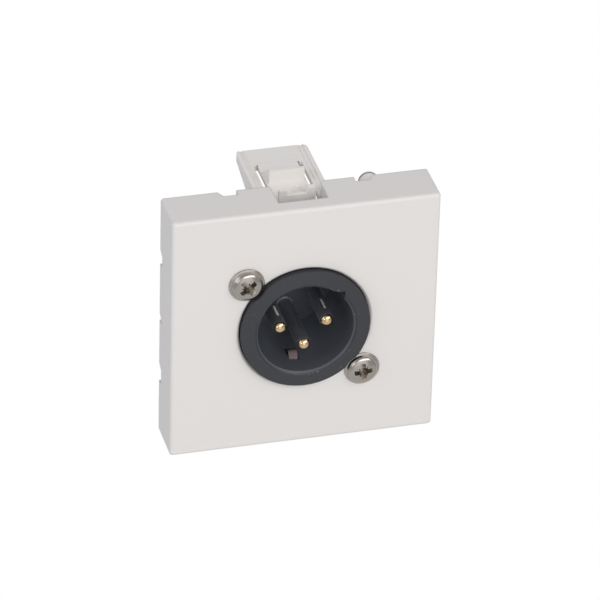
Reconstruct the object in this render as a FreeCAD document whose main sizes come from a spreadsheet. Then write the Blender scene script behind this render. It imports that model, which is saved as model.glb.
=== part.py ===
import FreeCAD, Part
import math
import os
import Sketcher
from types import SimpleNamespace

# XLR wall socket: a male three-pole socket on a square wall-plate module.
# The origin is on the connector's axis, in the front face of the plate. The front faces -Y,
# +X is to the right and +Z is up. All lengths are millimetres and all angles degrees.

SIZES = {
    # Front cover: a square plate with a skirt round it, open at the back
    "plate_side": 45.0,
    "plate_thickness": 2.0,
    "skirt_depth": 8.3,
    "skirt_wall": 1.5,
    "front_edge_radius": 0.6,
    "corner_radius": 0.5,
    # Notches in the rear rim of the skirt
    "rim_notch_depth": 1.4,
    "rim_notch_slope": 0.8,
    "top_notch_near": 9.9,
    "top_notch_far": 13.1,
    "upper_side_notch_near": 10.1,
    "upper_side_notch_far": 12.9,
    "lower_side_notch_near": 9.1,
    "lower_side_notch_far": 12.6,
    "vee_notch_width": 1.5,
    "vee_notch_depth": 1.8,
    # Notch in the top and bottom walls, over the latch
    "clip_notch_width": 8.4,
    "clip_notch_depth": 5.4,
    "clip_notch_bevel": 0.5,
    "guide_rib_thickness": 0.9,
    "guide_rib_gap": 0.1,
    # Socket opening and the fixings of the connector
    "disc_clearance": 0.15,
    "hole_bevel": 0.35,
    "screw_angle": 43.4,
    "nut_room": 0.58,
    "head_overlap": 0.2,
    "flange_screw_diameter": 3.0,
    "screw_clearance": 0.15,
    # Pillars for the screws of the carrier frame
    "frame_screw_inset": 8.9,
    "frame_screw_drop": 3.7,
    "frame_screw_diameter": 2.0,
    "pillar_diameter": 5.0,
    "thread_gap": 0.02,
    # Carrier frame: a plate inside the skirt
    "frame_clearance": 0.3,
    "frame_thickness": 1.6,
    "frame_inset": 0.7,
    "frame_corner_radius": 2.0,
    "frame_opening_gap": 0.6,
    "boss_diameter": 3.2,
    "boss_height": 4.8,
    # Clip tab and its tongue
    "tab_width": 12.2,
    "tab_thickness": 1.0,
    "tab_drop": 2.8,
    "tab_end": 24.9,
    "tongue_width": 6.7,
    "tongue_gap": 0.77,
    "tongue_root": 19.6,
    "tongue_front": 7.2,
    "root_clearance": 0.03,
    "well_depth": 4.6,
    "rail_lip_width": 0.7,
    "rail_lip_height": 0.4,
    "rail_step_width": 1.35,
    "rail_step_height": 0.15,
    "gusset_thickness": 1.0,
    "gusset_height": 3.8,
    "gusset_length": 15.2,
    # Hook and release tray on the tongue
    "hook_width": 6.0,
    "hook_front": 13.6,
    "hook_height": 2.36,
    "hook_crest": 0.6,
    "hook_ramp": 3.4,
    "cheek_span": 6.2,
    "cheek_width": 1.35,
    "tray_shift": 0.15,
    "cheek_height": 2.3,
    "left_cheek_depth": 0.6,
    "right_cheek_depth": 1.2,
    "bar_height": 1.3,
    "bar_depth": 0.7,
    "dimple_diameter": 2.2,
    "dimple_depth": 0.5,
    "dimple_x": 1.2,
    "dimple_y": 10.6,
    # Connector shell
    "disc_proud": 0.9,
    "disc_rise": 0.4,
    "cavity_diameter": 16.3,
    "cavity_depth": 13.6,
    "mouth_bevel": 0.5,
    "flange_overlap": 1.45,
    "flange_thickness": 2.2,
    "ear_diameter": 8.0,
    "barrel_wall": 1.25,
    "barrel_lip": 0.8,
    "key_slot_side": 2.5,
    "key_slot_rise": 1.1,
    "key_slot_angle": 46.3,
    "key_slot_depth": 9.0,
    # Contact insert and its clip
    "insert_ledge": 0.55,
    "insert_fit": 0.05,
    "insert_length": 3.2,
    "insert_boss_step": 1.2,
    "insert_boss_length": 1.8,
    "clip_thickness": 0.6,
    "clip_groove_depth": 0.5,
    "clip_radial_width": 1.1,
    "clip_gap_angle": 50.0,
    # Contact pins
    "pin_circle_diameter": 8.0,
    "pin_turn": 2.6,
    "pin_diameter": 2.4,
    "pin_tip": 0.1,
    "tip_flat": 0.9,
    "tip_shoulder_diameter": 2.0,
    "tip_shoulder": 0.5,
    "tip_length": 1.2,
    "pin_seat_diameter": 2.8,
    "pin_fit": 0.04,
    "cup_diameter": 2.9,
    "cup_bore": 1.9,
    "cup_bore_depth": 4.6,
    "cup_length": 6.0,
    "cup_mouth_length": 3.4,
    # Shell contact: a bent strip in a channel of the shell's lower wall
    "strip_width": 1.5,
    "strip_thickness": 0.4,
    "strip_x": -0.8,
    "strip_drop": 1.05,
    "strip_front": 3.1,
    "hump_crest": 4.6,
    "hump_rear": 6.4,
    "hump_rise": 1.6,
    "hump_flat": 0.4,
    "hump_thickness": 0.55,
    "tag_length": 6.8,
    "strip_gap": 0.15,
    "strip_eye_diameter": 0.8,
    # Screws, nuts and washers
    "flange_head_diameter": 6.04,
    "flange_head_height": 1.6,
    "flange_head_rim": 0.2,
    "head_crown_diameter": 2.0,
    "head_shoulder_diameter": 4.4,
    "head_shoulder_height": 1.0,
    "flange_screw_length": 9.0,
    "head_gap": 0.1,
    "nut_across_flats": 5.5,
    "nut_thickness": 2.4,
    "washer_diameter": 5.9,
    "washer_thickness": 0.7,
    "washer_split": 0.5,
    "frame_head_diameter": 3.4,
    "frame_head_height": 0.7,
    "frame_screw_length": 8.6,
}

os.makedirs("parts", exist_ok=True)
doc = FreeCAD.newDocument("xlr_wall_socket")


# Sizes that can be added and scaled in the code and still reach the model as formulas

def number_of(term):
    return term.number if isinstance(term, Size) else float(term)


def formula_of(term):
    return term.formula if isinstance(term, Size) else repr(float(term))


class Size:
    """A length or an angle: its number now, and the sheet formula that gives it."""

    def __init__(self, number, formula):
        self.number = number
        self.formula = formula

    def __add__(self, other):
        return Size(self.number + number_of(other), f"({self.formula} + {formula_of(other)})")

    def __radd__(self, other):
        return self + other

    def __sub__(self, other):
        return Size(self.number - number_of(other), f"({self.formula} - {formula_of(other)})")

    def __rsub__(self, other):
        return Size(number_of(other) - self.number, f"({formula_of(other)} - {self.formula})")

    def __mul__(self, other):
        return Size(self.number * number_of(other), f"({self.formula} * {formula_of(other)})")

    def __rmul__(self, other):
        return self * other

    def __truediv__(self, other):
        return Size(self.number / number_of(other), f"({self.formula} / {formula_of(other)})")

    def __neg__(self):
        return self * -1


def cosine(angle):
    return Size(math.cos(math.radians(angle.number)), f"cos({angle.formula})")


def sine(angle):
    return Size(math.sin(math.radians(angle.number)), f"sin({angle.formula})")


def make_sheet():
    """Writes every driving size to the sheet and gives them back by name."""
    sheet = doc.addObject("Spreadsheet::Sheet", "Sizes")
    named = {}
    for row, (name, number) in enumerate(SIZES.items(), start=1):
        sheet.set(f"A{row}", name)
        sheet.set(f"B{row}", str(number))
        sheet.setAlias(f"B{row}", name)
        named[name] = Size(number, f"Sizes.{name}")
    doc.recompute()
    return SimpleNamespace(**named)


# Bodies, sketches and features

PLANES = {"front": "XZ_Plane", "side": "YZ_Plane", "top": "XY_Plane"}


def origin_part(body, role):
    return next(part for part in body.Origin.OriginFeatures if part.Role == role)


def new_body(name):
    body = doc.addObject("PartDesign::Body", name)
    body.Label = name
    return body


def bind(target, field, size):
    target.setExpression(field, formula_of(size))


def new_sketch(body, name, plane, level=0.0):
    """A sketch in a plane of the body: front (X, Z), side (Y, Z) or top (X, Y).

    The level is its Y, X or Z. A front sketch looks along -Y, so its level changes sign.
    """
    sketch = body.newObject("Sketcher::SketchObject", f"{body.Name}_{name}")
    sketch.AttachmentSupport = (origin_part(body, PLANES[plane]), "")
    sketch.MapMode = "FlatFace"
    lift = -1.0 * level if plane == "front" else level
    bind(sketch, "AttachmentOffset.Base.z", lift)
    return sketch


def hold(sketch, kind, size, edge, end=None):
    """Adds a driving dimension that follows the sheet."""
    where = (edge,) if end is None else (edge, end)
    index = sketch.addConstraint(Sketcher.Constraint(kind, *where, number_of(size)))
    if isinstance(size, Size):
        bind(sketch, f"Constraints[{index}]", size)


def hold_point(sketch, edge, end, across, up):
    hold(sketch, "DistanceX", across, edge, end)
    hold(sketch, "DistanceY", up, edge, end)


def arc_middle(start, stop, radius):
    """The point half way along a minor arc. A positive radius bulges to the right of the way."""
    chord = stop - start
    left = FreeCAD.Vector(-chord.y, chord.x, 0).normalize()
    reach = abs(radius)
    drop = math.sqrt(max(reach ** 2 - (chord.Length / 2) ** 2, 0.0))
    side = -1.0 if radius > 0 else 1.0
    return (start + stop) / 2 + left * side * (reach - drop)


def outline(sketch, corners):
    """A closed outline. A corner is (across, up), or (across, up, radius) where an arc leaves it."""
    places = [FreeCAD.Vector(number_of(corner[0]), number_of(corner[1]), 0) for corner in corners]
    first = sketch.GeometryCount
    ends = []
    for index, corner in enumerate(corners):
        start = places[index]
        stop = places[(index + 1) % len(corners)]
        if len(corner) == 2:
            sketch.addGeometry(Part.LineSegment(start, stop), False)
            ends.append((1, 2))
            continue
        middle = arc_middle(start, stop, number_of(corner[2]))
        # A sketch keeps its arcs anticlockwise, so a clockwise one is entered from its far end
        anticlockwise = (middle - start).cross(stop - middle).z > 0
        arc = Part.Arc(start, middle, stop) if anticlockwise else Part.Arc(stop, middle, start)
        sketch.addGeometry(arc, False)
        ends.append((1, 2) if anticlockwise else (2, 1))
    for index, corner in enumerate(corners):
        following = (index + 1) % len(corners)
        joint = (first + index, ends[index][1], first + following, ends[following][0])
        sketch.addConstraint(Sketcher.Constraint("Coincident", *joint))
        hold_point(sketch, first + index, ends[index][0], corner[0], corner[1])
    for index, corner in enumerate(corners):
        if len(corner) == 3 and not is_half_turn(corners, index):
            hold(sketch, "Radius", size_of(corner[2]), first + index)
        elif len(corner) == 3:
            # The centre of a half circle lies on its upright chord, which says all that a radius would
            hold(sketch, "DistanceX", corner[0], first + index, 3)


def size_of(radius):
    return radius if number_of(radius) > 0 else -1.0 * radius


def is_half_turn(corners, index):
    start = corners[index]
    stop = corners[(index + 1) % len(corners)]
    chord = math.hypot(number_of(stop[0]) - number_of(start[0]), number_of(stop[1]) - number_of(start[1]))
    return abs(chord - 2 * abs(number_of(start[2]))) < 1e-6


def rectangle(sketch, left, bottom, right, top):
    outline(sketch, [(left, bottom), (right, bottom), (right, top), (left, top)])


def circle(sketch, diameter, across=0.0, up=0.0):
    centre = FreeCAD.Vector(number_of(across), number_of(up), 0)
    edge = sketch.GeometryCount
    sketch.addGeometry(Part.Circle(centre, FreeCAD.Vector(0, 0, 1), number_of(diameter) / 2), False)
    hold(sketch, "Diameter", diameter, edge)
    hold_point(sketch, edge, 3, across, up)


def new_feature(body, kind, sketch):
    feature = body.newObject(f"PartDesign::{kind}", f"{sketch.Name}_{kind.lower()}")
    feature.Profile = sketch
    body.Tip = feature
    return feature


def extrude(body, kind, sketch, length, reverse, symmetric):
    feature = new_feature(body, kind, sketch)
    feature.Type = "Length"
    feature.SideType = "Symmetric" if symmetric else "One side"
    feature.Reversed = reverse
    bind(feature, "Length", length)
    return feature


def pad(body, sketch, length, reverse=False, symmetric=False):
    """Adds material along the sketch's normal: -Y from a front sketch, +Y where reversed."""
    return extrude(body, "Pad", sketch, length, reverse, symmetric)


def pocket(body, sketch, length, reverse=False, symmetric=False):
    """Cuts against the sketch's normal: towards +Y from a front sketch, towards -Z from a top one."""
    return extrude(body, "Pocket", sketch, length, reverse, symmetric)


def spin(body, kind, sketch):
    """Turns a side sketch once round the body's Y axis, as a Revolution or a Groove."""
    feature = new_feature(body, kind, sketch)
    feature.ReferenceAxis = (sketch, ["H_Axis"])
    feature.Angle = 360.0
    return feature


def edges_where(feature, wanted):
    """The names of the feature's straight or round edges that pass a test on their box and length."""
    doc.recompute()
    return [f"Edge{index}" for index, edge in enumerate(feature.Shape.Edges, start=1) if wanted(edge)]


def dress(body, kind, name, base, wanted, size):
    """Rounds (Fillet) or bevels (Chamfer) the chosen edges."""
    feature = body.newObject(f"PartDesign::{kind}", f"{body.Name}_{name}")
    feature.Base = (base, edges_where(base, wanted))
    bind(feature, "Radius" if kind == "Fillet" else "Size", size)
    body.Tip = feature
    return feature


def turn_copies(body, name, features, count, role="Y_Axis"):
    """Repeats features evenly round one of the body's axes."""
    pattern = body.newObject("PartDesign::PolarPattern", f"{body.Name}_{name}")
    pattern.Originals = features
    pattern.Axis = (origin_part(body, role), [""])
    pattern.Angle = 360.0
    pattern.Occurrences = count
    body.Tip = pattern
    return pattern


def put(body, x=0.0, y=0.0, z=0.0):
    bind(body, "Placement.Base.x", x)
    bind(body, "Placement.Base.y", y)
    bind(body, "Placement.Base.z", z)


def half_turn_about_y(body):
    body.Placement = FreeCAD.Placement(FreeCAD.Vector(), FreeCAD.Rotation(FreeCAD.Vector(0, 1, 0), 180))


s = make_sheet()

# Places and sizes that more than one piece shares. The radii go outwards from the cavity, so the
# insert, the barrel, the screws, the disc and the flange keep their room when one of them changes.
half_side = s.plate_side / 2
inner_half = half_side - s.skirt_wall
frame_rear = s.skirt_depth - s.frame_inset
frame_front = frame_rear - s.frame_thickness
frame_screw_x = half_side - s.frame_screw_inset
frame_screw_z = half_side - s.frame_screw_drop
tab_top = half_side - s.tab_drop
tab_bottom = tab_top - s.tab_thickness
window_half = s.tongue_width / 2 + s.tongue_gap
cavity_radius = s.cavity_diameter / 2
insert_radius = cavity_radius + s.insert_ledge
bore_radius = insert_radius + s.insert_fit
barrel_radius = bore_radius + s.barrel_wall
nut_corner = s.nut_across_flats / 2 / math.cos(math.radians(30))
screw_reach = barrel_radius + s.nut_room + nut_corner
screw_x = screw_reach * cosine(s.screw_angle)
screw_z = screw_reach * sine(s.screw_angle)
disc_radius = screw_reach - s.flange_head_diameter / 2 + s.head_overlap
disc_hole_radius = disc_radius + s.disc_clearance
flange_radius = disc_radius + s.flange_overlap
flange_rear = s.plate_thickness + s.flange_thickness
disc_front = -s.disc_proud - s.disc_rise
insert_front = s.cavity_depth
insert_rear = insert_front + s.insert_length
boss_rear = insert_rear + s.insert_boss_length
barrel_end = insert_rear + s.clip_thickness + s.barrel_lip
cup_end = boss_rear + s.cup_length
pin_hole = s.pin_seat_diameter + s.pin_fit * 2
pin_places = [
    (s.pin_circle_diameter / 2 * cosine(angle), s.pin_circle_diameter / 2 * sine(angle))
    for angle in (s.pin_turn + 180.0, s.pin_turn + 0.0, s.pin_turn + 270.0)
]
strip_bottom = -cavity_radius - s.strip_drop
strip_top = strip_bottom + s.strip_thickness
strip_end = barrel_end + s.tag_length


def make_front_cover():
    """One white moulding: plate, skirt, rim notches, guide ribs and two screw pillars."""
    body = new_body("front_cover")
    block = new_sketch(body, "block", "front")
    rectangle(block, -half_side, -half_side, half_side, half_side)
    solid = pad(body, block, s.skirt_depth, reverse=True)
    corners = dress(body, "Fillet", "corners", solid, lambda edge: runs_along(edge, 1), s.corner_radius)
    dress(
        body, "Fillet", "front_edge", corners,
        lambda edge: edge.BoundBox.YMax < 0.001, s.front_edge_radius,
    )
    hollow = new_sketch(body, "hollow", "front", s.plate_thickness)
    rectangle(hollow, -inner_half, -inner_half, inner_half, inner_half)
    pocket(body, hollow, s.skirt_depth - s.plate_thickness)
    hole = new_sketch(body, "disc_hole", "front")
    circle(hole, disc_hole_radius * 2)
    opening = pocket(body, hole, s.plate_thickness)
    dress(
        body, "Chamfer", "disc_hole_bevel", opening,
        lambda edge: edge.BoundBox.YMax < 0.001 and is_round(edge, disc_hole_radius.number), s.hole_bevel,
    )
    screws = new_sketch(body, "screw_holes", "front")
    for side in (-1, 1):
        circle(screws, s.flange_screw_diameter + s.screw_clearance * 2, screw_x * side, screw_z * -side)
    pocket(body, screws, s.plate_thickness)
    pillar = new_sketch(body, "pillar", "front", s.plate_thickness)
    circle(pillar, s.pillar_diameter, frame_screw_x, frame_screw_z)
    post = pad(body, pillar, frame_front - s.plate_thickness, reverse=True)
    pilot = new_sketch(body, "pilot", "front", s.plate_thickness)
    circle(pilot, s.frame_screw_diameter + s.thread_gap * 2, frame_screw_x, frame_screw_z)
    bore = pocket(body, pilot, frame_front - s.plate_thickness)
    turn_copies(body, "pillars", [post, bore], 2)
    add_guide_ribs(body)
    cut_rim_notches(body)
    return body


def cut_rim_notches(body):
    """The outer flank of each notch leans, and the small vee is halfway up the sides."""
    floor = s.skirt_depth - s.rim_notch_depth
    rear = s.skirt_depth
    level_cut = new_sketch(body, "top_rim_notches", "top")
    for side in (-1, 1):
        near = s.top_notch_near * side
        far = s.top_notch_far * side
        lean = (s.top_notch_far - s.rim_notch_slope) * side
        outline(level_cut, [(near, floor), (lean, floor), (far, rear), (near, rear)])
    pocket(body, level_cut, s.plate_side, symmetric=True)
    clip = new_sketch(body, "clip_notch", "top")
    half = s.clip_notch_width / 2
    front = s.skirt_depth - s.clip_notch_depth
    bevel = rear - s.clip_notch_bevel
    outline(clip, [
        (-half, front), (half, front), (half, bevel), (half + s.clip_notch_bevel, rear),
        (-half - s.clip_notch_bevel, rear), (-half, bevel),
    ])
    pocket(body, clip, s.plate_side, symmetric=True)
    upright_cut = new_sketch(body, "side_rim_notches", "side")
    high_near = s.upper_side_notch_near
    high_far = s.upper_side_notch_far
    low_near = -s.lower_side_notch_near
    low_far = -s.lower_side_notch_far
    outline(upright_cut, [
        (floor, high_near), (floor, high_far - s.rim_notch_slope), (rear, high_far), (rear, high_near),
    ])
    outline(upright_cut, [
        (floor, low_far), (floor, low_near - s.rim_notch_slope), (rear, low_near), (rear, low_far),
    ])
    half_vee = s.vee_notch_width / 2
    outline(upright_cut, [(rear - s.vee_notch_depth, -half_vee), (rear, half_vee), (rear, -half_vee)])
    pocket(body, upright_cut, s.plate_side, symmetric=True)


def add_guide_ribs(body):
    """Ribs on each side of the clip notch, down to just above the tab."""
    ribs = new_sketch(body, "guide_ribs", "front", s.plate_thickness)
    inner = s.clip_notch_width / 2
    for side in (-1, 1):
        near = inner * side
        far = (inner + s.guide_rib_thickness) * side
        rectangle(ribs, near, tab_top + s.guide_rib_gap, far, inner_half)
    rib = pad(body, ribs, s.skirt_depth - s.plate_thickness, reverse=True)
    turn_copies(body, "guide_rib_pairs", [rib], 2)


def make_carrier_frame():
    """One white moulding: a plate inside the skirt, screw bosses and a clip tab at top and bottom."""
    body = new_body("carrier_frame")
    frame_half = inner_half - s.frame_clearance
    plate = new_sketch(body, "plate", "front", frame_front)
    rectangle(plate, -frame_half, -frame_half, frame_half, frame_half)
    solid = pad(body, plate, s.frame_thickness, reverse=True)
    dress(body, "Fillet", "corners", solid, lambda edge: runs_along(edge, 1), s.frame_corner_radius)
    opening = new_sketch(body, "opening", "front", frame_front)
    circle(opening, (barrel_radius + s.frame_opening_gap) * 2)
    pocket(body, opening, s.frame_thickness)
    ear = new_sketch(body, "ear_opening", "front", frame_front)
    circle(ear, s.ear_diameter, screw_x, -screw_z)
    ear_cut = pocket(body, ear, s.frame_thickness)
    boss = new_sketch(body, "boss", "front", frame_rear)
    circle(boss, s.boss_diameter, frame_screw_x, frame_screw_z)
    boss_pad = pad(body, boss, s.boss_height, reverse=True)
    tab_features = add_clip_tab(body)
    screw_hole = new_sketch(body, "screw_hole", "front", frame_front)
    circle(screw_hole, s.frame_screw_diameter + s.screw_clearance * 2, frame_screw_x, frame_screw_z)
    hole_cut = pocket(body, screw_hole, s.frame_thickness + s.boss_height)
    turn_copies(body, "other_side", [ear_cut, boss_pad] + tab_features + [hole_cut], 2)
    return body


def add_clip_tab(body):
    """A flat tab behind the frame with a window for the tongue, stepped rails and gussets."""
    half = s.tab_width / 2
    tab = new_sketch(body, "tab", "top", tab_bottom)
    lip = s.rail_lip_width
    outline(tab, [
        (-half, frame_front), (half, frame_front), (half, s.tab_end - lip, lip),
        (half - lip, s.tab_end), (lip - half, s.tab_end, lip), (-half, s.tab_end - lip),
    ])
    plate = pad(body, tab, s.tab_thickness)
    steps = new_sketch(body, "rail_steps", "top", tab_top)
    lips = new_sketch(body, "rail_lips", "top", tab_top)
    gussets = new_sketch(body, "gussets", "top", tab_bottom)
    for side in (-1, 1):
        outer = half * side
        rectangle(steps, outer, frame_rear, (half - s.rail_step_width) * side, s.tab_end - lip)
        inner = (half - lip) * side
        outline(lips, [
            (inner, frame_rear), (outer, frame_rear), (outer, s.tab_end - lip, lip * side),
            (inner, s.tab_end),
        ])
        near = (half - s.gusset_thickness) * side
        rectangle(gussets, near, frame_rear, outer, frame_rear + s.gusset_length)
    step = pad(body, steps, s.rail_step_height)
    lip_pad = pad(body, lips, s.rail_lip_height)
    gusset = pad(body, gussets, s.gusset_height, reverse=True)
    slope = new_sketch(body, "gusset_slope", "side")
    foot = frame_rear + s.gusset_length
    low = tab_bottom - s.gusset_height
    outline(slope, [(frame_rear, low), (foot, low), (foot, tab_bottom)])
    slope_cut = pocket(body, slope, s.tab_width, symmetric=True)
    window = new_sketch(body, "window", "top", tab_top + s.rail_lip_height)
    rectangle(window, -window_half, frame_front, window_half, s.tongue_root)
    window_cut = pocket(body, window, s.rail_lip_height + s.tab_thickness)
    seat = new_sketch(body, "root_seat", "side")
    circle(seat, s.tab_thickness + s.root_clearance * 2, s.tongue_root, tab_bottom + s.tab_thickness / 2)
    seat_cut = pocket(body, seat, s.tongue_width + s.tongue_gap, symmetric=True)
    well = new_sketch(body, "well", "front", frame_front)
    floor = tab_top - s.well_depth
    rib_half = s.clip_notch_width / 2 + s.guide_rib_thickness + s.frame_clearance
    outline(well, [
        (-window_half, floor), (window_half, floor), (window_half, tab_top), (rib_half, tab_top),
        (rib_half, inner_half), (-rib_half, inner_half), (-rib_half, tab_top), (-window_half, tab_top),
    ])
    well_cut = pocket(body, well, s.frame_thickness)
    cuts = [slope_cut, window_cut, seat_cut, well_cut]
    return [plate, step, lip_pad, gusset] + cuts


def make_latch(name):
    """A spring tongue: round root, ramped hook, and a release tray at its free front end."""
    body = new_body(name)
    half_thickness = s.tab_thickness / 2
    blade = new_sketch(body, "blade", "side")
    outline(blade, [
        (s.tongue_front, tab_bottom), (s.tongue_root, tab_bottom, half_thickness),
        (s.tongue_root, tab_top), (s.tongue_front, tab_top),
    ])
    pad(body, blade, s.tongue_width, symmetric=True)
    hook = new_sketch(body, "hook", "side")
    crest = tab_top + s.hook_height
    base = tab_top - half_thickness
    crest_rear = s.hook_front + s.hook_crest
    outline(hook, [
        (s.hook_front, base), (crest_rear + s.hook_ramp, base), (crest_rear + s.hook_ramp, tab_top),
        (crest_rear, crest), (s.hook_front, crest),
    ])
    pad(body, hook, s.hook_width, symmetric=True)
    outer = s.cheek_span / 2
    inner = outer - s.cheek_width
    for side, depth in (("left", s.left_cheek_depth), ("right", s.right_cheek_depth)):
        sign = -1 if side == "left" else 1
        cheek = new_sketch(body, f"{side}_cheek", "front", s.tongue_front)
        near = s.tray_shift + inner * sign
        far = s.tray_shift + outer * sign
        rectangle(cheek, near, base, far, tab_top + s.cheek_height)
        pad(body, cheek, depth, reverse=True)
    bar = new_sketch(body, "bar", "front", s.tongue_front)
    rectangle(bar, s.tray_shift - inner, base, s.tray_shift + inner, tab_top + s.bar_height)
    pad(body, bar, s.bar_depth, reverse=True)
    dimple = new_sketch(body, "dimple", "top", tab_top)
    circle(dimple, s.dimple_diameter, s.dimple_x, s.dimple_y)
    pocket(body, dimple, s.dimple_depth)
    return body


def make_connector_shell():
    """Black moulding: front disc, flange with two ears, barrel, cavity, key slot and strip channel."""
    body = new_body("connector_shell")
    mouth = cavity_radius + s.mouth_bevel
    turned = new_sketch(body, "turned", "side")
    outline(turned, [
        (disc_front, mouth), (-s.disc_proud, disc_radius), (s.plate_thickness, disc_radius),
        (s.plate_thickness, flange_radius), (flange_rear, flange_radius),
        (flange_rear, barrel_radius), (barrel_end, barrel_radius),
        (barrel_end, bore_radius), (insert_front, bore_radius), (insert_front, cavity_radius),
        (disc_front + s.mouth_bevel, cavity_radius),
    ])
    spin(body, "Revolution", turned)
    groove = new_sketch(body, "clip_groove", "side")
    groove_rear = insert_rear + s.clip_thickness
    rectangle(groove, insert_rear, insert_radius, groove_rear, bore_radius + s.clip_groove_depth)
    spin(body, "Groove", groove)
    add_ears(body)
    heads = new_sketch(body, "head_scallops", "front", disc_front)
    for side in (-1, 1):
        circle(heads, s.flange_head_diameter + s.head_gap * 2, screw_x * side, screw_z * -side)
    pocket(body, heads, -disc_front)
    key = new_sketch(body, "key_slot", "front", disc_front)
    key_x = (cavity_radius + s.key_slot_rise) * cosine(s.key_slot_angle)
    key_z = (cavity_radius + s.key_slot_rise) * sine(s.key_slot_angle)
    rectangle(key, key_x - s.key_slot_side, key_z - s.key_slot_side, key_x, key_z)
    pocket(body, key, s.key_slot_depth - disc_front)
    cut_contact_channel(body)
    return body


def add_ears(body):
    """Two round ears and the arms that join them to the flange."""
    lean_x = s.ear_diameter / 2 * sine(s.screw_angle)
    lean_z = s.ear_diameter / 2 * cosine(s.screw_angle)
    start_x = barrel_radius * cosine(s.screw_angle)
    start_z = barrel_radius * sine(s.screw_angle)
    arm = new_sketch(body, "ear_arm", "front", s.plate_thickness)
    outline(arm, [
        (start_x - lean_x, -start_z - lean_z), (screw_x - lean_x, -screw_z - lean_z),
        (screw_x + lean_x, -screw_z + lean_z), (start_x + lean_x, -start_z + lean_z),
    ])
    arm_pad = pad(body, arm, s.flange_thickness, reverse=True)
    ear = new_sketch(body, "ear", "front", s.plate_thickness)
    circle(ear, s.ear_diameter, screw_x, -screw_z)
    ear_pad = pad(body, ear, s.flange_thickness, reverse=True)
    hole = new_sketch(body, "ear_hole", "front", s.plate_thickness)
    circle(hole, s.flange_screw_diameter + s.screw_clearance * 2, screw_x, -screw_z)
    hole_cut = pocket(body, hole, s.flange_thickness)
    turn_copies(body, "ear_pair", [arm_pad, ear_pad, hole_cut], 2)


def cut_contact_channel(body):
    """A channel in the lower wall for the strip, and the window where its pad comes through."""
    half = s.strip_width / 2 + s.strip_gap
    front = s.strip_front - s.strip_gap
    channel = new_sketch(body, "strip_channel", "front", front)
    left = s.strip_x - half
    right = s.strip_x + half
    rectangle(channel, left, strip_bottom - s.strip_gap, right, strip_top + s.strip_gap)
    pocket(body, channel, barrel_end - front)
    window = new_sketch(body, "strip_window", "front", front)
    rectangle(window, left, strip_bottom, right, -cavity_radius / 2)
    pocket(body, window, s.hump_rear + s.strip_gap - front)


def make_contact_insert():
    """Black insulator with a bore for each pin."""
    body = new_body("contact_insert")
    disc = new_sketch(body, "disc", "front", insert_front)
    circle(disc, insert_radius * 2)
    pad(body, disc, s.insert_length, reverse=True)
    boss = new_sketch(body, "boss", "front", insert_rear)
    circle(boss, (insert_radius - s.insert_boss_step) * 2)
    pad(body, boss, s.insert_boss_length, reverse=True)
    holes = new_sketch(body, "pin_holes", "front", insert_front)
    for across, up in pin_places:
        circle(holes, pin_hole, across, up)
    pocket(body, holes, s.insert_length + s.insert_boss_length)
    return body


def make_insert_clip():
    """Spring ring with a gap, seated in the groove behind the insert."""
    body = new_body("insert_clip")
    outer = insert_radius + s.clip_groove_depth - s.insert_fit
    ring = new_sketch(body, "ring", "front", insert_rear)
    circle(ring, outer * 2)
    circle(ring, (outer - s.clip_radial_width) * 2)
    pad(body, ring, s.clip_thickness - s.insert_fit, reverse=True)
    gap = new_sketch(body, "gap", "front", insert_rear)
    half_gap = s.clip_gap_angle / 2
    wide = outer * 2 * sine(half_gap)
    deep = outer * 2 * cosine(half_gap)
    outline(gap, [(0.0, 0.0), (-wide, -deep), (wide, -deep)])
    pocket(body, gap, s.clip_thickness)
    return body


def make_contact_pin(name, place):
    """Turned pin: round tip, shaft, thicker seat in the insert, and an open solder cup."""
    body = new_body(name)
    radius = s.pin_diameter / 2
    seat = s.pin_seat_diameter / 2
    turned = new_sketch(body, "turned", "side")
    outline(turned, [
        (s.pin_tip, 0.0), (cup_end, 0.0), (cup_end, s.cup_diameter / 2),
        (boss_rear, s.cup_diameter / 2), (boss_rear, seat), (insert_front, seat),
        (insert_front, radius), (s.pin_tip + s.tip_length, radius),
        (s.pin_tip + s.tip_shoulder, s.tip_shoulder_diameter / 2), (s.pin_tip, s.tip_flat / 2),
    ])
    spin(body, "Revolution", turned)
    bore = new_sketch(body, "cup_bore", "front", cup_end - s.cup_bore_depth)
    circle(bore, s.cup_bore)
    pocket(body, bore, s.cup_bore_depth)
    mouth = new_sketch(body, "cup_mouth", "side")
    rectangle(mouth, cup_end - s.cup_mouth_length, 0.0, cup_end, s.cup_diameter)
    pocket(body, mouth, s.cup_diameter, symmetric=True)
    put(body, x=place[0], z=place[1])
    return body


def make_shell_contact():
    """Bent strip: sprung hump in the cavity, straight run in the channel, solder tag with an eye."""
    body = new_body("shell_contact")
    side = new_sketch(body, "bent_strip", "side")
    crest = strip_top + s.hump_rise
    thick = s.strip_thickness
    half_flat = s.hump_flat / 2
    outline(side, [
        (s.strip_front, strip_bottom), (s.strip_front + thick, strip_bottom),
        (s.hump_crest, crest - s.hump_thickness),
        (s.hump_rear - thick, strip_bottom), (strip_end, strip_bottom), (strip_end, strip_top),
        (s.hump_rear, strip_top), (s.hump_crest + half_flat, crest), (s.hump_crest - half_flat, crest),
        (s.strip_front, strip_top),
    ])
    pad(body, side, s.strip_width, symmetric=True)
    eye = new_sketch(body, "tag_eye", "top", strip_top)
    circle(eye, s.strip_eye_diameter, 0.0, strip_end - s.strip_width)
    pocket(body, eye, s.strip_thickness)
    put(body, x=s.strip_x)
    return body


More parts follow.
